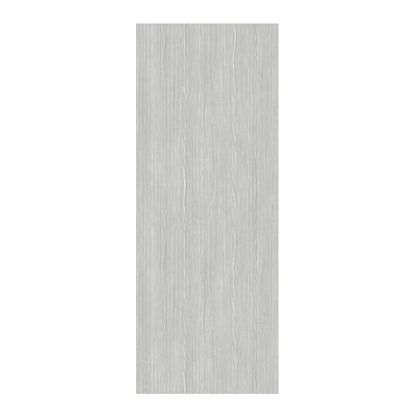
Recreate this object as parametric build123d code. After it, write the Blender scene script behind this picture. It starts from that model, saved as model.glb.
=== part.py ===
from build123d import *
import os

# Solid-core flush fire door leaf, as it leaves the factory, with no hinges, lock or furniture let into it.
# The leaf is a glued sandwich of flat boards. A softwood frame of two stiles and two rails holds a chipboard
# core, a hardboard skin covers each side of them, a hardwood lipping closes each long edge, and decorative
# laminate is pressed over the long edges first and over the two faces last.
# Units are millimetres. The origin is on the hinge edge, at the foot of the leaf and at mid-thickness.
# +X runs from the hinge edge to the lock edge, +Y from the front face to the back face, and +Z is up.

# Leaf, at the standard door size and the thickness of a 30-minute leaf
LEAF_WIDTH = 762.0
LEAF_HEIGHT = 1981.0
LEAF_THICKNESS = 44.0

# Decorative laminate: face sheets with a bevel-trimmed arris, and square edge strips that they cover
FACE_LAMINATE = 0.8
FACE_BEVEL = 0.4
EDGE_LAMINATE = 0.8

# Hardboard skin under each face sheet, and hardwood lipping under each edge strip
SKIN_THICKNESS = 3.0
LIPPING_THICKNESS = 8.0

# Softwood frame, and the room left round the chipboard core that is dropped into it
STILE_WIDTH = 35.0
TOP_RAIL_DEPTH = 35.0
BOTTOM_RAIL_DEPTH = 35.0
CORE_CLEARANCE = 0.5

# Where one layer ends and the next begins, counted inwards from the hinge edge and from mid-thickness
LIPPING_START = EDGE_LAMINATE
STILE_START = LIPPING_START + LIPPING_THICKNESS
STILE_END = STILE_START + STILE_WIDTH
BLANK_DEPTH = LEAF_THICKNESS - 2 * FACE_LAMINATE
FRAME_DEPTH = BLANK_DEPTH - 2 * SKIN_THICKNESS

# The planes that the leaf is symmetric about
MID_WIDTH = Plane.YZ.offset(LEAF_WIDTH / 2)
MID_THICKNESS = Plane.XZ


def board(start, width, foot, height, depth):
    """A board from start along X and foot along Z, extruded to its depth evenly about mid-thickness."""
    outline = Pos(start, foot) * Rectangle(width, height, align=(Align.MIN, Align.MIN))
    return extrude(Plane.XZ * outline, depth / 2, both=True)


def face_sheet():
    """The front face laminate, with a bevel round its outer face that the trimmer leaves."""
    sheet = board(0, LEAF_WIDTH, 0, LEAF_HEIGHT, FACE_LAMINATE)
    sheet = Pos(0, -(BLANK_DEPTH + FACE_LAMINATE) / 2) * sheet
    outer_face = sheet.faces().sort_by(Axis.Y).first
    return chamfer(outer_face.edges(), FACE_BEVEL)


def edge_strip():
    """The hinge edge laminate, between the two face sheets and cut square with the ends of the leaf."""
    return board(0, EDGE_LAMINATE, 0, LEAF_HEIGHT, BLANK_DEPTH)


def skin():
    """The front hardboard skin, glued to the frame and the core between the two lippings."""
    sheet = board(STILE_START, LEAF_WIDTH - 2 * STILE_START, 0, LEAF_HEIGHT, SKIN_THICKNESS)
    return Pos(0, -(FRAME_DEPTH + SKIN_THICKNESS) / 2) * sheet


def lipping():
    """The hinge edge lipping, over the frame and the edges of both skins."""
    return board(LIPPING_START, LIPPING_THICKNESS, 0, LEAF_HEIGHT, BLANK_DEPTH)


def stile():
    """The hinge stile, which runs the full height of the leaf."""
    return board(STILE_START, STILE_WIDTH, 0, LEAF_HEIGHT, FRAME_DEPTH)


def rail(foot, depth):
    """A rail between the stiles, butted to them."""
    return board(STILE_END, LEAF_WIDTH - 2 * STILE_END, foot, depth, FRAME_DEPTH)


def core():
    """The chipboard core, which fills the frame and is glued to both skins."""
    start = STILE_END + CORE_CLEARANCE
    foot = BOTTOM_RAIL_DEPTH + CORE_CLEARANCE
    top = LEAF_HEIGHT - TOP_RAIL_DEPTH - CORE_CLEARANCE
    return board(start, LEAF_WIDTH - 2 * start, foot, top - foot, FRAME_DEPTH)


def leaf():
    """Every piece of the leaf by name. The back and the lock edge mirror the front and the hinge edge."""
    pieces = {
        "core": core(),
        "top_rail": rail(LEAF_HEIGHT - TOP_RAIL_DEPTH, TOP_RAIL_DEPTH),
        "bottom_rail": rail(0, BOTTOM_RAIL_DEPTH),
    }
    for name, piece in (("stile", stile()), ("lipping", lipping()), ("edge_laminate", edge_strip())):
        pieces["hinge_" + name] = piece
        pieces["lock_" + name] = mirror(piece, about=MID_WIDTH)
    for name, piece in (("skin", skin()), ("face_laminate", face_sheet())):
        pieces["front_" + name] = piece
        pieces["back_" + name] = mirror(piece, about=MID_THICKNESS)
    return pieces


os.makedirs("parts", exist_ok=True)
for node, solid in leaf().items():
    export_step(solid, f"parts/{node}.step")
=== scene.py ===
from math import pi, radians

import bpy
import numpy as np
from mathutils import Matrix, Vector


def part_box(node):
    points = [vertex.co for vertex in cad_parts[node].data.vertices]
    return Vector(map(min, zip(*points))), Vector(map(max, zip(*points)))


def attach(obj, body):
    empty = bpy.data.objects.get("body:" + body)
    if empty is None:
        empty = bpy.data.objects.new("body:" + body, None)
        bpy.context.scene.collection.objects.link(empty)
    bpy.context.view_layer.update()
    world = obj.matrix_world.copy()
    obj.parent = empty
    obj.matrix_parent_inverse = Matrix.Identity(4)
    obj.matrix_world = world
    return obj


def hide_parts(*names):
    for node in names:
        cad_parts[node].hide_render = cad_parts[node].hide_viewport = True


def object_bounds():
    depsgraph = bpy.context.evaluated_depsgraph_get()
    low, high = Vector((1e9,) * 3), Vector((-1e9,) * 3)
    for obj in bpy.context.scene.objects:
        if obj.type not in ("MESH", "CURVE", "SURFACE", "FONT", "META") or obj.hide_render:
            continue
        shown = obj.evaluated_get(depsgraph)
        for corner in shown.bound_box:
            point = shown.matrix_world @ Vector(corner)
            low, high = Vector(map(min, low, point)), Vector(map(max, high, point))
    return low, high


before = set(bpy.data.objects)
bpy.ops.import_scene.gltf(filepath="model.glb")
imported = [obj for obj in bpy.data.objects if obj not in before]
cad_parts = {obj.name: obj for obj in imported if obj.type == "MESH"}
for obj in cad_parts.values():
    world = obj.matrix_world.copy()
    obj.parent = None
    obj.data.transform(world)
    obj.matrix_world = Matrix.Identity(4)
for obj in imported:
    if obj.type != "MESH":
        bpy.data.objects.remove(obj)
CAD_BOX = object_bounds()
MM = 0.001
UP = np.array((0.0, 0.0, 1.0))

# The photograph is a square picture, and these are the leaf's four edges in it, in pixels
PHOTO_SIDE = 416
PHOTO_LEFT, PHOTO_RIGHT = 136.17, 278.34
PHOTO_TOP, PHOTO_BOTTOM = 23.46, 393.80

# Camera: its lens and the width of its sensor, in millimetres, and how far it sees, in metres
LENS = 100.0
SENSOR = 36.0
SIGHT = 200.0

# Studio: how far the floor reaches, in metres, how far under the leaf it lies and how much it glows
FLOOR_REACH = 60.0
FLOOR_DROP = 0.2 * MM
FLOOR_GLOW = 0.82

# How strongly the white room lights the leaf, and how bright it looks itself
ROOM_LIGHT = 0.62
ROOM_SEEN = 1.05

# Soft lamps, each with its strength and how it is turned, and how wide each one looks, in degrees
LAMPS = {"key": (0.24, (48, 0, -28)), "back": (0.18, (48, 0, 152))}
LAMP_WIDTH = 30

# Laminate: the trimmed bevel of a face sheet, the printed layer on the brown paper, how deep the grain is
# pressed in, the grid that carries it, how far in from its edges a sheet is rubbed, and how much darker its
# tone is made there
FACE_BEVEL = 0.4 * MM
DECOR_LAYER = 0.12 * MM
EMBOSS_DEPTH = 0.16 * MM
GRID_ACROSS = 1.6 * MM
GRID_ALONG = 10.5 * MM
RUB_WIDTH = 5 * MM
EDGE_DARKENING = 0.16

# The sheets: the way each one faces, its bevel, and where it was cut from the decor, counted from the
# decor's left edge and down from the top of the front sheet
SHEETS = {
    "front_face_laminate": ((0.0, -1.0, 0.0), FACE_BEVEL, 0 * MM, 0 * MM),
    "back_face_laminate": ((0.0, 1.0, 0.0), FACE_BEVEL, 0 * MM, 430 * MM),
    "hinge_edge_laminate": ((-1.0, 0.0, 0.0), 0.0, 70 * MM, 610 * MM),
    "lock_edge_laminate": ((1.0, 0.0, 0.0), 0.0, 430 * MM, 250 * MM),
}

# The decor is printed from a cylinder, so it repeats along the grain. It is worked out on a grid of small
# cells, from random numbers that are the same in every run.
DECOR_WIDTH = 900 * MM
DECOR_REPEAT = 1096 * MM
DECOR_CELL_ACROSS = 1 * MM
DECOR_CELL_ALONG = 4 * MM
DECOR_SEED = 6

# Lines of the decor: finest and widest spacing across the grain, length along it, and strength
FINE_LINES = (4 * MM, 13 * MM, 400 * MM, 0.2)
LOOSE_LINES = (5 * MM, 15 * MM, 40 * MM, 0.17)
LONG_BANDS = (85 * MM, 210 * MM, 700 * MM, 0.075)
SHADE = (160 * MM, 900 * MM, 200 * MM, 0.055)

# Pinstripes of the decor keep close to one spacing, within a share of it, and have hard sides
PIN_SPACING = 17.5 * MM
PIN_SPREAD = 0.16
PIN_LENGTH = 1200 * MM
PIN_STRENGTH = 0.3
PIN_HARDNESS = 2.2

# They fade and strengthen about a usual contrast, up to a greatest one. In patches they give way to a
# second set, about a usual share. Both changes vary over the decor as the lines above do.
PIN_FADING = (12 * MM, 200 * MM, 200 * MM, 0.45)
PIN_SHOWN = 0.7
PIN_BOLDEST = 1.5
PIN_PATCHES = (30 * MM, 300 * MM, 120 * MM, 0.8)
PIN_FIRST = 0.65

# Tint follows the tone of the broader lines only
TINT_WIDTH = 25 * MM
TINT_STRENGTH = 6

# How deep the plate presses in the dark lines, and in the painted shadow lines of the splits, for each unit
# of tone
PRESSED_LINES = 1.5
PRESSED_SPLITS = 0.6

# Broad bands of the decor: place from the left edge and down from the top, half width, half length, tone
BANDS = (
    (378 * MM, 215 * MM, 27 * MM, 230 * MM, -0.14),
    (728 * MM, 860 * MM, 10 * MM, 180 * MM, -0.2),
    (468 * MM, 400 * MM, 45 * MM, 290 * MM, 0.07),
    (86 * MM, 780 * MM, 36 * MM, 230 * MM, 0.11),
    # This band darkens each face sheet along its right edge, its whole height
    (757 * MM, 0 * MM, 22 * MM, 2000 * MM, -0.24),
)

# Splits of the wood in the decor. Each is a braid of light strands, one below the other, with a painted
# shadow line on their right, a fainter one on their left and a faint twin beyond the right one. For each
# split: its place from the left edge, how light it is, how dark its painted shadows are, and how far down
# its strongest strand is.
SPLITS = (
    (146 * MM, 0.4, 0.85, 150 * MM),
    (260 * MM, 1.0, 1.5, 905 * MM),
    (361 * MM, 0.42, 1.0, 430 * MM),
    (524 * MM, 1.0, 1.5, 150 * MM),
    (632 * MM, 0.3, 1.25, 960 * MM),
)

# The strongest strand of a split is long, and leans to the left from its head to its foot. Shares of its
# length say where the others begin below its middle, and where they end above its next repeat.
STRONGEST_LENGTH = 150 * MM
STRONGEST_LEAN = (6 * MM, -6 * MM)
OTHERS_BEGIN = 0.4
OTHERS_END = 0.9

# The other strands lean to the right as far as their turn, then run straight. They are weaker out of the
# strongest strand's reach. Pairs are least and most, and a step to the next one is a share of the length.
STRAND_LENGTH = (75 * MM, 130 * MM)
STRAND_STEP = (0.6, 0.95)
STRAND_HEAD = (-8 * MM, -4 * MM)
STRAND_FOOT = (3 * MM, 7 * MM)
STRAND_TURN = (0.6, 1.0)
STRAND_STRENGTH = (0.5, 1.1)
SPLIT_REACH = 300 * MM
SPLIT_REST = 0.62

# A strand's half width, where its painted shadow lines are and their half width, how strong the left one and
# the twin are, the shares of the strand over which its head and its foot fade, and the power by which they
# do
STRAND_HALF = 4.8 * MM
SHADOW_SIDE = 6.8 * MM
SHADOW_HALF = 2.6 * MM
LEFT_SHADOW = 0.35
TWIN = 0.2
FADE_HEAD = 0.14
FADE_FOOT = 0.22
FADE_POWER = 0.7

# Boards, as they show at the top and the foot of the leaf: their eased arrises, how far in glue stains
# them, how far late wood stands above early wood, the marks of the saw that cut the leaf to length, and the
# cells of the grid that carries all this
ARRIS = 0.3 * MM
GLUE_STAIN = 0.8 * MM
GRAIN_RELIEF = 0.12 * MM
SAW_RELIEF = 0.05 * MM
SAW_PITCH = 2.5 * MM
SAW_SLANT = 0.3
CELL_ALONG = 5 * MM
CELL_ACROSS = 0.5 * MM

# Growth rings: their width, by what share and over what distance it varies, how far out of round they are
# and with how many lobes, how suddenly late wood begins, and the waves in which the pith wanders up the tree
RING = 3 * MM
RING_VARIES = 0.5
RING_VARIES_OVER = 9 * MM
RING_OUT_OF_ROUND = 0.2
RING_LOBES = 5
LATE_WOOD = 2.5
PITH_WAVES = ((5 * MM, 140 * MM), (2 * MM, 53 * MM))

# For each board: its slot, the axis that its grain runs along, and where the pith of its tree was, from the
# board's middle. Hardboard is pressed from pulp and has none.
BOARDS = {
    "hinge_stile": ("softwood", 2, (-14 * MM, 31 * MM)),
    "lock_stile": ("softwood", 2, (9 * MM, -36 * MM)),
    "top_rail": ("softwood", 0, (6 * MM, -33 * MM)),
    "bottom_rail": ("softwood", 0, (-9 * MM, 38 * MM)),
    "hinge_lipping": ("hardwood", 2, (120 * MM, 60 * MM)),
    "lock_lipping": ("hardwood", 2, (-90 * MM, 75 * MM)),
    "front_skin": ("hardboard", 0, None),
    "back_skin": ("hardboard", 0, None),
}

# Settings and inputs that several nodes share. Noise runs from about 0.3 to 0.7, and is mapped from there.
MULTIPLY = {"data_type": "RGBA", "blend_type": "MULTIPLY"}
BLEND = {"data_type": "RGBA"}
MULTIPLY_ADD = {"operation": "MULTIPLY_ADD"}
SUM = {"operation": "ADD"}
NOISE = {1: 0.3, 2: 0.7}


def linear(code):
    """An sRGB hex colour as linear RGBA."""
    values = [int(code[i : i + 2], 16) / 255 for i in (1, 3, 5)]
    return [v / 12.92 if v <= 0.04045 else ((v + 0.055) / 1.055) ** 2.4 for v in values] + [1.0]


def add(tree, kind, settings, inputs):
    """Adds a node. Settings are its own properties, and stops are those of its colour ramp.

    An input goes by its name or its number. It is a value, or the output that is linked to it.
    """
    node = tree.nodes.new("ShaderNode" + kind)
    for name, value in settings.items():
        if name == "stops":
            node.color_ramp.elements.remove(node.color_ramp.elements[1])
            for index, (place, code) in enumerate(value):
                stop = node.color_ramp.elements.new(place) if index else node.color_ramp.elements[0]
                stop.position = place
                stop.color = linear(code)
        else:
            setattr(node, name, value)
    for name, value in inputs.items():
        if isinstance(value, bpy.types.NodeSocket):
            tree.links.new(value, node.inputs[name])
        else:
            node.inputs[name].default_value = value
    return node


def new_material(name):
    """A material with an empty node tree, and its tree."""
    material = bpy.data.materials.new(name)
    material.use_nodes = True
    material.node_tree.nodes.clear()
    return material, material.node_tree


# Grain of the decor


def around(distance):
    """A distance along the grain, wrapped to the nearest repeat of the decor."""
    return (distance + DECOR_REPEAT / 2) % DECOR_REPEAT - DECOR_REPEAT / 2


def lines_across():
    """Lines per metre across the grain, for each wave that the decor's grid can hold."""
    return np.fft.rfftfreq(round(DECOR_WIDTH / DECOR_CELL_ACROSS), DECOR_CELL_ACROSS)


def softened(roll, width):
    """A grid of the decor, blurred across the grain."""
    waves = np.fft.rfft(roll, axis=1) * np.exp(-((lines_across() * width) ** 2))
    return np.fft.irfft(waves, roll.shape[1], axis=1)


def grain(rng, kept, length):
    """Random lines of that length on the decor's grid. Kept is the share of each wave across the grain."""
    shape = round(DECOR_REPEAT / DECOR_CELL_ALONG), round(DECOR_WIDTH / DECOR_CELL_ACROSS)
    along = np.fft.fftfreq(shape[0], DECOR_CELL_ALONG)[:, None]
    waves = np.fft.rfft2(rng.standard_normal(shape)) * kept / np.hypot(1, 2 * pi * along * length)
    lines = np.fft.irfft2(waves, shape)
    return lines / lines.std()


def mixed_lines(rng, finest, widest, length, strength):
    """Lines of many spacings."""
    kept = np.exp(-((lines_across() * finest) ** 2)) - np.exp(-((lines_across() * widest) ** 2))
    return strength * grain(rng, kept, length)


def pinstripes(rng):
    """Lines of nearly one spacing, which fade in places and give way to a second set in others."""
    fading = np.clip(PIN_SHOWN + mixed_lines(rng, *PIN_FADING), 0, PIN_BOLDEST)
    kept = np.exp(-(((lines_across() * PIN_SPACING - 1) / PIN_SPREAD) ** 2))
    first, second = (np.tanh(PIN_HARDNESS * grain(rng, kept, PIN_LENGTH)) for k in range(2))
    share = np.clip(PIN_FIRST + mixed_lines(rng, *PIN_PATCHES), 0, 1)
    return PIN_STRENGTH * fading * (share * first + (1 - share) * second)


def strand_tone(across, down, lean, turn, light, shadow):
    """Tone of one strand of a split and its painted shadows. Across is from the split's middle, down is 0 at
    its head.
    """
    gap = across - lean[0] - (lean[1] - lean[0]) * np.clip(down / turn, 0, 1)
    fade = np.clip(down / FADE_HEAD, 0, 1) * np.clip((1 - down) / FADE_FOOT, 0, 1)
    half_width = STRAND_HALF * (1 + fade) / 2
    ridge = np.exp(-((gap / half_width) ** 4))
    twin = np.exp(-(((gap - 2 * SHADOW_SIDE) / STRAND_HALF) ** 2))
    # right and left are the painted shadow lines of the lifted strand, darkened into the tone
    right = np.exp(-(((gap - SHADOW_SIDE) / SHADOW_HALF) ** 2))
    left = np.exp(-(((gap + SHADOW_SIDE) / SHADOW_HALF) ** 2))
    return fade**FADE_POWER * (light * (ridge + TWIN * twin) - shadow * (right + LEFT_SHADOW * left))


def split_tone(rng, across, along):
    """Tone of the splits alone, with their painted shadow lines."""
    tone = np.zeros_like(across)
    for place, light, shadow, peak in SPLITS:
        down = around(along - peak) / STRONGEST_LENGTH + 0.5
        tone += strand_tone(across - place, down, STRONGEST_LEAN, 1.0, light, shadow)
        start = peak + STRONGEST_LENGTH * OTHERS_BEGIN
        while start < peak + DECOR_REPEAT - STRONGEST_LENGTH * OTHERS_END:
            length = rng.uniform(*STRAND_LENGTH)
            lean = rng.uniform(*STRAND_HEAD), rng.uniform(*STRAND_FOOT)
            near = np.exp(-((around(start + length / 2 - peak) / SPLIT_REACH) ** 2))
            strength = (SPLIT_REST + (1 - SPLIT_REST) * near) * rng.uniform(*STRAND_STRENGTH)
            down = around(along - start - length / 2) / length + 0.5
            turn = rng.uniform(*STRAND_TURN)
            tone += strand_tone(across - place, down, lean, turn, strength * light, strength * shadow)
            start += length * rng.uniform(*STRAND_STEP)
    return tone


def band_tone(across, along):
    """Tone of the broad bands alone."""
    tone = np.zeros_like(across)
    for place, down, half_width, half_length, strength in BANDS:
        distance = ((across - place) / half_width) ** 2 + (around(along - down) / half_length) ** 2
        tone += strength * np.exp(-distance)
    return tone


def print_decor():
    """The printed roll, as grids of tone, tint and pressed depth. A tone of 0 is mid grey and 1 is light."""
    rng = np.random.default_rng(DECOR_SEED)
    across = np.arange(0, DECOR_WIDTH, DECOR_CELL_ACROSS)
    along = np.arange(0, DECOR_REPEAT, DECOR_CELL_ALONG)
    across, along = np.meshgrid(across, along)
    lines = pinstripes(rng)
    for layer in (FINE_LINES, LOOSE_LINES, LONG_BANDS, SHADE):
        lines = lines + mixed_lines(rng, *layer)
    splits = split_tone(rng, across, along)
    tone = lines + splits + band_tone(across, along)
    # The splits' painted shadow lines are pressed in as well as darkened
    pressed = np.clip(-PRESSED_LINES * lines - PRESSED_SPLITS * np.minimum(splits, 0), 0, 1)
    return tone, TINT_STRENGTH * softened(tone, TINT_WIDTH), pressed


def cut_from(roll, across, along):
    """Values of a grid of the decor at those places. The grid goes on from its own other edge."""
    rows, columns = roll.shape
    place, height = across / DECOR_CELL_ACROSS, along / DECOR_CELL_ALONG
    column, row = np.floor(place).astype(int), np.floor(height).astype(int)
    share, rise = place - column, height - row
    left, right = column % columns, (column + 1) % columns
    above, below = row % rows, (row + 1) % rows
    upper = roll[above, left] * (1 - share) + roll[above, right] * share
    lower = roll[below, left] * (1 - share) + roll[below, right] * share
    return upper * (1 - rise) + lower * rise


# Grain of the boards


def growth_rings(places, axis, pith):
    """How far each place is through its growth ring, from 0 in early wood to 1 in late wood."""
    first, second = (places[k] for k in range(3) if k != axis)
    drift = sum(size * np.sin(places[axis] / length) for size, length in PITH_WAVES)
    first, second = first - pith[0] - drift, second - pith[1] - drift
    distance = np.hypot(first, second)
    rings = distance / RING + RING_VARIES * np.sin(distance / RING_VARIES_OVER)
    rings = rings + RING_OUT_OF_ROUND * np.sin(RING_LOBES * np.arctan2(second, first))
    return (rings % 1) ** LATE_WOOD


# Materials


def printed_tone(tree, place, fibre):
    """Tone of the laminate's print: the decor's lines, broken up by fibres, with pores and saw marks."""
    tone = add(tree, "Attribute", {"attribute_name": "tone"}, {}).outputs["Fac"]
    share = add(tree, "MapRange", {}, {"Value": fibre, **NOISE, 3: 0.4, 4: 1.6}).outputs[0]
    fibre_tone = add(tree, "MapRange", {}, {"Value": fibre, **NOISE, 3: -0.3, 4: 0.3}).outputs[0]
    line_tone = add(tree, "Math", MULTIPLY_ADD, {0: tone, 1: share, 2: fibre_tone}).outputs[0]

    # Pores are short dark dashes 0.3 mm wide, drawn 0.8 mm wide, or they wouldn't show
    pore_size = (1 / (0.8 * MM), 1 / (0.8 * MM), 1 / (18 * MM))
    pore_place = add(tree, "Mapping", {}, {"Vector": place, "Scale": pore_size}).outputs[0]
    pore = add(tree, "TexNoise", {}, {"Vector": pore_place, "Scale": 1.0, "Detail": 0.0}).outputs["Fac"]
    pore_tone = add(tree, "MapRange", {}, {"Value": pore, 1: 0.27, 2: 0.35, 3: -0.6, 4: 0.03}).outputs[0]

    # Saw marks cross the grain in patches. They are 1 mm apart, drawn 10 mm apart, or they wouldn't show.
    mark_size = (1 / (35 * MM), 1 / (35 * MM), 1 / (7 * MM))
    mark_place = add(tree, "Mapping", {}, {"Vector": place, "Scale": mark_size}).outputs[0]
    mark = add(tree, "TexNoise", {}, {"Vector": mark_place, "Scale": 1.0, "Detail": 1.0}).outputs["Fac"]
    even_tone = add(tree, "MapRange", {}, {"Value": mark, **NOISE, 3: -0.13, 4: 0.13}).outputs[0]
    patch_size = {"Vector": place, "Scale": 1 / (70 * MM), "Detail": 1.0}
    patch = add(tree, "TexNoise", {}, patch_size).outputs["Fac"]
    shown = add(tree, "MapRange", {}, {"Value": patch, 1: 0.48, 2: 0.6, 3: 0.1, 4: 1.0}).outputs[0]
    mark_tone = add(tree, "Math", MULTIPLY_ADD, {0: even_tone, 1: shown, 2: pore_tone}).outputs[0]
    return add(tree, "Math", SUM, {0: line_tone, 1: mark_tone}).outputs[0]


def pressed_laminate():
    """High-pressure laminate, a melamine overlay on a printed decor, pressed with a woodgrain plate.

    It gives a pale grey, satin surface: streaked like sawn wood, with a dull sheen that the pores break up.
    """
    material, tree = new_material("grey_woodgrain_laminate")
    place = add(tree, "TexCoord", {}, {}).outputs["Object"]
    tint = add(tree, "Attribute", {"attribute_name": "tint"}, {}).outputs["Fac"]
    rub = add(tree, "Attribute", {"attribute_name": "rub"}, {}).outputs["Fac"]

    # Fibres are under 0.5 mm wide, drawn 1 mm wide, or they wouldn't show
    fibre_size = (1 / (1.0 * MM), 1 / (1.0 * MM), 1 / (60 * MM))
    fibre_place = add(tree, "Mapping", {}, {"Vector": place, "Scale": fibre_size}).outputs[0]
    fibre = add(tree, "TexNoise", {}, {"Vector": fibre_place, "Scale": 1.0, "Detail": 3.0}).outputs["Fac"]
    tone = printed_tone(tree, place, fibre)
    shade = add(tree, "MapRange", {}, {"Value": tone, 1: -1.5, 2: 1.5, 3: 0.0, 4: 1.0}).outputs[0]
    stops = [(0.0, "#9F9F9A"), (0.5, "#C8C8C7"), (1.0, "#F1F1F3")]
    grey = add(tree, "ValToRGB", {"stops": stops}, {"Fac": shade}).outputs["Color"]

    # The paper's ink is slightly greenish in some bands and slightly violet in others
    ink = [(0.0, "#FEFEFB"), (1.0, "#FDFDFE")]
    band = add(tree, "MapRange", {}, {"Value": tint, 1: -2.2, 2: 2.2, 3: 0.0, 4: 1.0}).outputs[0]
    wash = add(tree, "ValToRGB", {"stops": ink}, {"Fac": band}).outputs["Color"]
    colour = add(tree, "Mix", MULTIPLY, {0: 1.0, 6: grey, 7: wash}).outputs[2]

    # The plate leaves pores duller than the ground between them, and handling dulls the edges
    rough = add(tree, "MapRange", {}, {"Value": fibre, **NOISE, 3: 0.6, 4: 0.46}).outputs[0]
    dulled = add(tree, "Math", MULTIPLY_ADD, {0: rub, 1: 0.12, 2: rough}).outputs[0]
    bump = add(tree, "Bump", {}, {"Height": fibre, "Distance": 0.06 * MM, "Strength": 0.6}).outputs[0]
    inputs = {"Base Color": colour, "Roughness": dulled, "Normal": bump, "IOR": 1.5}
    shader = add(tree, "BsdfPrincipled", {}, inputs).outputs[0]
    add(tree, "OutputMaterial", {}, {"Surface": shader})
    return material


def kraft_paper():
    """Kraft paper in phenolic resin, the brown back of the laminate.

    It shows only where a sheet is cut, as a thin, dark, mottled line.
    """
    material, tree = new_material("phenolic_kraft_paper")
    place = add(tree, "TexCoord", {}, {}).outputs["Object"]
    mottle_size = {"Vector": place, "Scale": 1 / (2 * MM), "Detail": 4.0}
    mottle = add(tree, "TexNoise", {}, mottle_size).outputs["Fac"]
    stops = [(0.35, "#3B2A20"), (0.65, "#5A4231")]
    colour = add(tree, "ValToRGB", {"stops": stops}, {"Fac": mottle}).outputs["Color"]
    rough = add(tree, "MapRange", {}, {"Value": mottle, **NOISE, 3: 0.5, 4: 0.65}).outputs[0]
    bump = add(tree, "Bump", {}, {"Height": mottle, "Distance": 0.05 * MM, "Strength": 0.5}).outputs[0]
    inputs = {"Base Color": colour, "Roughness": rough, "Normal": bump, "IOR": 1.55}
    shader = add(tree, "BsdfPrincipled", {}, inputs).outputs[0]
    add(tree, "OutputMaterial", {}, {"Surface": shader})
    return material


def sawn_wood(name, early, late, pore_code, pore_share, fibre):
    """Bare sawn wood: rings from early to late wood, pores, and fibres drawn out along the grain.

    It gives a dry, dull surface, darker in late wood and in the pores, and stained by glue at its arrises.
    """
    material, tree = new_material(name)
    place = add(tree, "TexCoord", {}, {}).outputs["Object"]
    ring = add(tree, "Attribute", {"attribute_name": "ring"}, {}).outputs["Fac"]
    rub = add(tree, "Attribute", {"attribute_name": "rub"}, {}).outputs["Fac"]
    cells = [1 / size for size in fibre]
    fibre_place = add(tree, "Mapping", {}, {"Vector": place, "Scale": cells}).outputs[0]
    fibres = add(tree, "TexNoise", {}, {"Vector": fibre_place, "Scale": 1.0, "Detail": 4.0}).outputs["Fac"]
    gap = add(tree, "TexVoronoi", {}, {"Vector": fibre_place, "Scale": 1.0}).outputs["Distance"]
    pore = add(tree, "MapRange", {}, {"Value": gap, 1: 0.12, 2: 0.3, 3: pore_share, 4: 0.0}).outputs[0]

    wood = add(tree, "ValToRGB", {"stops": [(0.0, early), (1.0, late)]}, {"Fac": ring}).outputs["Color"]
    stops = [(0.3, "#CFC4B8"), (0.7, "#FFFFFF")]
    shading = add(tree, "ValToRGB", {"stops": stops}, {"Fac": fibres}).outputs["Color"]
    streaked = add(tree, "Mix", MULTIPLY, {0: 1.0, 6: wood, 7: shading}).outputs[2]
    porous = add(tree, "Mix", BLEND, {0: pore, 6: streaked, 7: linear(pore_code)}).outputs[2]
    colour = add(tree, "Mix", MULTIPLY, {0: rub, 6: porous, 7: linear("#B7A086")}).outputs[2]

    rough = add(tree, "MapRange", {}, {"Value": fibres, **NOISE, 3: 0.8, 4: 0.64}).outputs[0]
    bump = add(tree, "Bump", {}, {"Height": fibres, "Distance": 0.1 * MM, "Strength": 0.6}).outputs[0]
    inputs = {"Base Color": colour, "Roughness": rough, "Normal": bump, "IOR": 1.52}
    shader = add(tree, "BsdfPrincipled", {}, inputs).outputs[0]
    add(tree, "OutputMaterial", {}, {"Surface": shader})
    return material


def spruce_end():
    """Spruce cut across the grain. Its fibres are under 0.1 mm wide, drawn 0.7 mm, or they wouldn't show."""
    fibre = (0.7 * MM, 0.7 * MM, 60 * MM)
    return sawn_wood("spruce_end_grain", "#D8BA8C", "#A67B4C", "#8A6238", 0.25, fibre)


def spruce_side():
    """Spruce sawn along the grain, paler than its ends. Its fibres are drawn as wide as there."""
    fibre = (60 * MM, 0.7 * MM, 0.7 * MM)
    return sawn_wood("spruce_side_grain", "#E5CCA3", "#C39A66", "#A67D4E", 0.2, fibre)


def sapele_end():
    """Red hardwood cut across the grain. Its pores are 0.2 mm wide, drawn 0.5 mm, or they wouldn't show."""
    fibre = (1.0 * MM, 1.0 * MM, 60 * MM)
    return sawn_wood("hardwood_end_grain", "#8E5A3E", "#7A4931", "#4A291B", 0.7, fibre)


def hardboard():
    """Wood pulp pressed hot into a hard brown sheet. Its edge is matt and fibrous, with faint layers."""
    material, tree = new_material("pressed_hardboard")
    place = add(tree, "TexCoord", {}, {}).outputs["Object"]
    rub = add(tree, "Attribute", {"attribute_name": "rub"}, {}).outputs["Fac"]
    fibre_size = (1 / (6 * MM), 1 / (0.5 * MM), 1 / (6 * MM))
    fibre_place = add(tree, "Mapping", {}, {"Vector": place, "Scale": fibre_size}).outputs[0]
    fibres = add(tree, "TexNoise", {}, {"Vector": fibre_place, "Scale": 1.0, "Detail": 5.0}).outputs["Fac"]
    stops = [(0.3, "#4A3424"), (0.55, "#664A33"), (0.75, "#7C5E43")]
    brown = add(tree, "ValToRGB", {"stops": stops}, {"Fac": fibres}).outputs["Color"]
    colour = add(tree, "Mix", MULTIPLY, {0: rub, 6: brown, 7: linear("#A89A8C")}).outputs[2]
    rough = add(tree, "MapRange", {}, {"Value": fibres, **NOISE, 3: 0.85, 4: 0.7}).outputs[0]
    bump = add(tree, "Bump", {}, {"Height": fibres, "Distance": 0.15 * MM, "Strength": 0.7}).outputs[0]
    inputs = {"Base Color": colour, "Roughness": rough, "Normal": bump, "IOR": 1.5}
    shader = add(tree, "BsdfPrincipled", {}, inputs).outputs[0]
    add(tree, "OutputMaterial", {}, {"Surface": shader})
    return material


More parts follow.
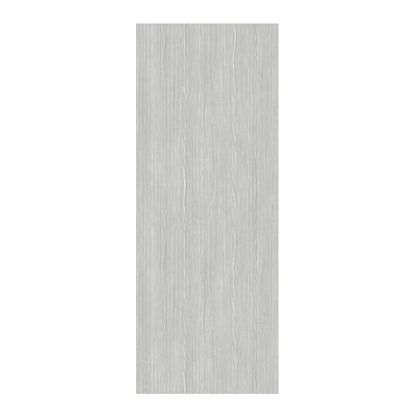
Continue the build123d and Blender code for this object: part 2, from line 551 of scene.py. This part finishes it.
def chipboard():
    """Wood chips pressed with resin, a mosaic of tan flakes 2 to 6 mm across. The leaf hides it."""
    material, tree = new_material("pressed_chipboard")
    place = add(tree, "TexCoord", {}, {}).outputs["Object"]
    flake = add(tree, "TexVoronoi", {}, {"Vector": place, "Scale": 1 / (4 * MM)}).outputs["Color"]
    fibre_size = {"Vector": place, "Scale": 1 / (1 * MM), "Detail": 3.0}
    fibres = add(tree, "TexNoise", {}, fibre_size).outputs["Fac"]
    streaks = add(tree, "Math", MULTIPLY_ADD, {0: fibres, 1: 0.4, 2: -0.2}).outputs[0]
    mosaic = add(tree, "Math", SUM, {0: flake, 1: streaks}).outputs[0]
    stops = [(0.1, "#8F6B45"), (0.5, "#BE9A6C"), (0.9, "#DCC092")]
    colour = add(tree, "ValToRGB", {"stops": stops}, {"Fac": mosaic}).outputs["Color"]
    rough = add(tree, "MapRange", {}, {"Value": fibres, **NOISE, 3: 0.85, 4: 0.7}).outputs[0]
    bump = add(tree, "Bump", {}, {"Height": mosaic, "Distance": 0.3 * MM, "Strength": 0.6}).outputs[0]
    inputs = {"Base Color": colour, "Roughness": rough, "Normal": bump, "IOR": 1.5}
    shader = add(tree, "BsdfPrincipled", {}, inputs).outputs[0]
    add(tree, "OutputMaterial", {}, {"Surface": shader})
    return material


# Meshes


def spread(start, end, cell):
    """Evenly spaced places from start to end, about a cell apart."""
    return np.linspace(start, end, round((end - start) / cell) + 1)


def edge_rub(first, second, size, reach):
    """How much each place of a face is rubbed: 1 at its edges, and next to nothing past twice the reach."""
    edge = np.minimum(np.minimum(first, size[0] - first), np.minimum(second, size[1] - second))
    return np.exp(-((edge / reach) ** 2))


def grid_faces(index):
    """Faces between the points of a grid, all turned the same way."""
    corners = [index[:-1, :-1], index[:-1, 1:], index[1:, 1:], index[1:, :-1]]
    return np.stack(corners, axis=-1).reshape(-1, 4)


def rim(index):
    """The points round a grid, in order."""
    return np.concatenate([index[0, :-1], index[:-1, -1], index[-1, :0:-1], index[:0:-1, 0]])


def wall_faces(rings):
    """Faces between each ring of points and the next one."""
    walls = []
    for inner, outer in zip(rings, rings[1:]):
        walls.append(np.stack([outer, np.roll(outer, -1), np.roll(inner, -1), inner], axis=-1))
    return np.concatenate(walls)


def back_faces(ring, count_across, count_up):
    """Closes the back of a sheet: one strip for each row, and fans at the top and the bottom."""
    bottom = ring[:count_across].tolist()
    right = ring[count_across - 1 : count_across + count_up - 1].tolist()
    top = ring[count_across + count_up - 2 : 2 * count_across + count_up - 2].tolist()
    left = ring[2 * count_across + count_up - 3 :].tolist() + [bottom[0]]
    left.reverse()
    faces = [[left[k], left[k + 1], right[k + 1], right[k]] for k in range(1, count_up - 2)]
    half = count_across // 2
    for line, near, far in ((bottom, left[1], right[1]), (top, right[-2], left[-2])):
        for k in range(count_across - 1):
            faces.append([line[k + 1], line[k], near if k < half else far])
        faces.append([line[half], near, far])
    return faces


def add_piece(node, points, faces, kinds, smooth, values, materials):
    """A mesh in a node's place. Kinds are its faces' materials, and values are numbers for each point."""
    mesh = bpy.data.meshes.new(node + "_mesh")
    mesh.from_pydata(points.tolist(), [], faces)
    for name, numbers in values.items():
        mesh.attributes.new(name, "FLOAT", "POINT").data.foreach_set("value", numbers.astype(np.float32))
    mesh.polygons.foreach_set("material_index", kinds.astype(np.int32))
    mesh.polygons.foreach_set("use_smooth", smooth)
    for material in materials:
        mesh.materials.append(material)
    mesh.update()
    piece = bpy.data.objects.new(node + "_piece", mesh)
    bpy.context.scene.collection.objects.link(piece)
    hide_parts(node)
    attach(piece, "root")


def laminate_sheet(node, materials, rolls):
    """A laminate sheet: its pressed face, bevel, printed layer, brown cut edge and plain back."""
    facing, bevel, cut_across, cut_along = SHEETS[node]
    outward = np.array(facing)
    right = np.cross(UP, outward)
    low, high = (np.array(corner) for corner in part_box(node))
    width, height, thickness = (abs((high - low) @ axis) for axis in (right, UP, outward))
    corner = (low + high + outward * thickness - right * width - UP * height) / 2
    size = np.array((width, height))
    columns = spread(bevel, width - bevel, GRID_ACROSS)
    rows = spread(bevel, height - bevel, GRID_ALONG)
    across, above = np.meshgrid(columns, rows)
    places = across + cut_across, height - above + cut_along
    tone, tint, pressed = (cut_from(roll, *places) for roll in rolls)
    rub = edge_rub(across - bevel, above - bevel, size - 2 * bevel, RUB_WIDTH)
    depth = EMBOSS_DEPTH * pressed * (1 - rub)

    # The face, then rings of points round it, where the printed layer, the bevel and the sheet end
    index = np.arange(across.size).reshape(across.shape)
    loop = rim(index)
    layers = [np.stack([across.ravel(), above.ravel(), depth.ravel()], axis=-1)]
    cuts = [(bevel - DECOR_LAYER, DECOR_LAYER), (0, bevel)] if bevel else [(0, DECOR_LAYER)]
    for inset, level in cuts + [(0, thickness)]:
        ring = inset + (layers[0][loop, :2] - bevel) * (size - 2 * inset) / (size - 2 * bevel)
        layers.append(np.column_stack([ring, np.full(len(loop), level)]))
    points = corner + np.concatenate(layers) @ np.array((right, UP, -outward))
    rings = [loop] + [across.size + k * len(loop) + np.arange(len(loop)) for k in range(len(layers) - 1)]

    face = grid_faces(index).tolist()
    faces = face + wall_faces(rings).tolist() + back_faces(rings[-1], len(columns), len(rows))
    number = np.arange(len(faces))
    brown = number >= len(face) + len(loop)
    values = {}
    # The tone is made darker along the sheet's edges
    for name, grid in {"tone": tone - EDGE_DARKENING * rub, "tint": tint, "rub": rub}.items():
        values[name] = np.concatenate([grid.ravel()] + [grid.ravel()[loop]] * (len(rings) - 1))
    add_piece(node, points, faces, brown, number < len(face), values, materials)


def end_relief(x, y, height, axis, pith):
    """Late wood at one end of a board, and how deep each place lies below the highest one."""
    late = np.zeros(x.shape)
    depth = np.zeros(x.shape)
    if pith is not None:
        late = growth_rings((x, y, np.full(x.shape, height)), axis, pith)
        depth = GRAIN_RELIEF * (late.max() - late)
    if axis == 2:
        depth = depth + SAW_RELIEF * (1 + np.sin(2 * pi * (x + SAW_SLANT * y) / SAW_PITCH)) / 2
    return late.ravel(), (depth - depth.min()).ravel()


def board(node, material):
    """A board: its top and bottom have eased arrises, and its grain and saw marks stand in relief."""
    slot, axis, pith = BOARDS[node]
    low, high = (np.array(corner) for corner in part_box(node))
    middle, size = (low + high) / 2, high - low
    centre = np.delete(middle, axis) + pith if pith else None
    cells = [CELL_ALONG if k == axis else CELL_ACROSS for k in range(2)]
    x, y = np.meshgrid(*(spread(low[k] + ARRIS, high[k] - ARRIS, cells[k]) for k in range(2)))
    index = np.arange(x.size).reshape(x.shape)
    loop = rim(index)
    flat = np.stack([x.ravel(), y.ravel()], axis=-1)
    outline = middle[:2] + (flat[loop] - middle[:2]) * size[:2] / (size[:2] - 2 * ARRIS)
    rub = edge_rub(x - low[0], y - low[1], size, GLUE_STAIN).ravel()

    # From the top down: the top, the ring below its arris, the ring above the other arris, the bottom
    layers, rings_seen = [], []
    for height, inward in ((high[2], -1), (low[2], 1)):
        late, depth = end_relief(x, y, height, axis, centre)
        end = np.column_stack([flat, height + inward * depth])
        eased = np.column_stack([outline, np.full(len(loop), height + inward * ARRIS)])
        layers += [end, eased][::-inward]
        rings_seen += [late, late[loop]][::-inward]
    upper = x.size + np.arange(len(loop))
    foot = x.size + 2 * len(loop)
    walls = wall_faces([loop, upper, upper + len(loop), loop + foot])
    top = grid_faces(index)
    faces = np.concatenate([top, walls, top[:, ::-1] + foot]).tolist()
    number = np.arange(len(faces))
    smooth = (number < len(top)) | (number >= len(top) + len(walls))
    stained = np.concatenate([rub, np.ones(2 * len(loop)), rub])
    values = {"ring": np.concatenate(rings_seen), "rub": stained}
    add_piece(node, np.concatenate(layers), faces, np.zeros(len(faces)), smooth, values, [material])


# Pieces


def dress_laminate():
    """The four laminate sheets."""
    materials = (pressed_laminate(), kraft_paper())
    rolls = print_decor()
    for node in SHEETS:
        laminate_sheet(node, materials, rolls)


def dress_boards():
    """The frame, the lippings and the skins, and the core that they hide."""
    finishes = {"stile": spruce_end(), "rail": spruce_side(), "lipping": sapele_end(), "skin": hardboard()}
    for node in BOARDS:
        board(node, finishes[node.split("_")[1]])
    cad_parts["core"].material_slots[0].material = chipboard()


# Studio


def light_table():
    """A pale floor that glows a little, so that it looks as white as the room."""
    material, tree = new_material("light_table")
    inputs = {"Base Color": linear("#7C7C7C"), "Roughness": 0.9, "Emission Color": linear("#FFFFFF")}
    inputs["Emission Strength"] = FLOOR_GLOW
    shader = add(tree, "BsdfPrincipled", {}, inputs).outputs[0]
    add(tree, "OutputMaterial", {}, {"Surface": shader})
    mesh = bpy.data.meshes.new("floor")
    corners = [(FLOOR_REACH * x, FLOOR_REACH * y, 0) for x, y in ((-1, -1), (1, -1), (1, 1), (-1, 1))]
    mesh.from_pydata(corners, [], [(0, 1, 2, 3)])
    mesh.materials.append(material)
    floor = bpy.data.objects.new("floor", mesh)
    floor.location.z = CAD_BOX[0][2] - FLOOR_DROP
    bpy.context.scene.collection.objects.link(floor)


def white_room():
    """An even white room, brighter to look at than it lights the leaf."""
    world = bpy.data.worlds.new("white_room")
    world.use_nodes = True
    tree = world.node_tree
    tree.nodes.clear()
    seen = add(tree, "LightPath", {}, {}).outputs["Is Camera Ray"]
    lit = add(tree, "Background", {}, {"Color": linear("#FFFFFF"), "Strength": ROOM_LIGHT}).outputs[0]
    shown = add(tree, "Background", {}, {"Color": linear("#FFFFFF"), "Strength": ROOM_SEEN}).outputs[0]
    both = add(tree, "MixShader", {}, {0: seen, 1: lit, 2: shown}).outputs[0]
    add(tree, "OutputWorld", {}, {"Surface": both})
    bpy.context.scene.world = world
    bpy.context.scene.view_settings.view_transform = "Standard"


def lamps():
    """Two soft lamps, one before the leaf and one behind it."""
    for name, (strength, turn) in LAMPS.items():
        lamp = bpy.data.lights.new(name, "SUN")
        lamp.energy = strength * pi
        lamp.angle = radians(LAMP_WIDTH)
        holder = bpy.data.objects.new(name, lamp)
        holder.rotation_euler = [radians(t) for t in turn]
        bpy.context.scene.collection.objects.link(holder)


def camera():
    """Square on to the front face, at the distance and height that put the leaf's edges at their pixels."""
    low, high = (np.array(corner) for corner in CAD_BOX)
    metres = (high[2] - low[2]) / (PHOTO_BOTTOM - PHOTO_TOP)
    middle = (low + high) / 2
    aside = (PHOTO_SIDE - PHOTO_LEFT - PHOTO_RIGHT) / 2 * metres
    above = (PHOTO_TOP + PHOTO_BOTTOM - PHOTO_SIDE) / 2 * metres
    distance = PHOTO_SIDE * metres * LENS / SENSOR
    data = bpy.data.cameras.new("camera")
    data.lens = LENS
    data.sensor_width = SENSOR
    data.clip_end = SIGHT
    holder = bpy.data.objects.new("camera", data)
    holder.location = (middle[0] + aside, low[1] - distance, middle[2] + above)
    holder.rotation_euler = (radians(90), 0, 0)
    bpy.context.scene.collection.objects.link(holder)
    bpy.context.scene.camera = holder


dress_laminate()
dress_boards()
light_table()
white_room()
lamps()
camera()
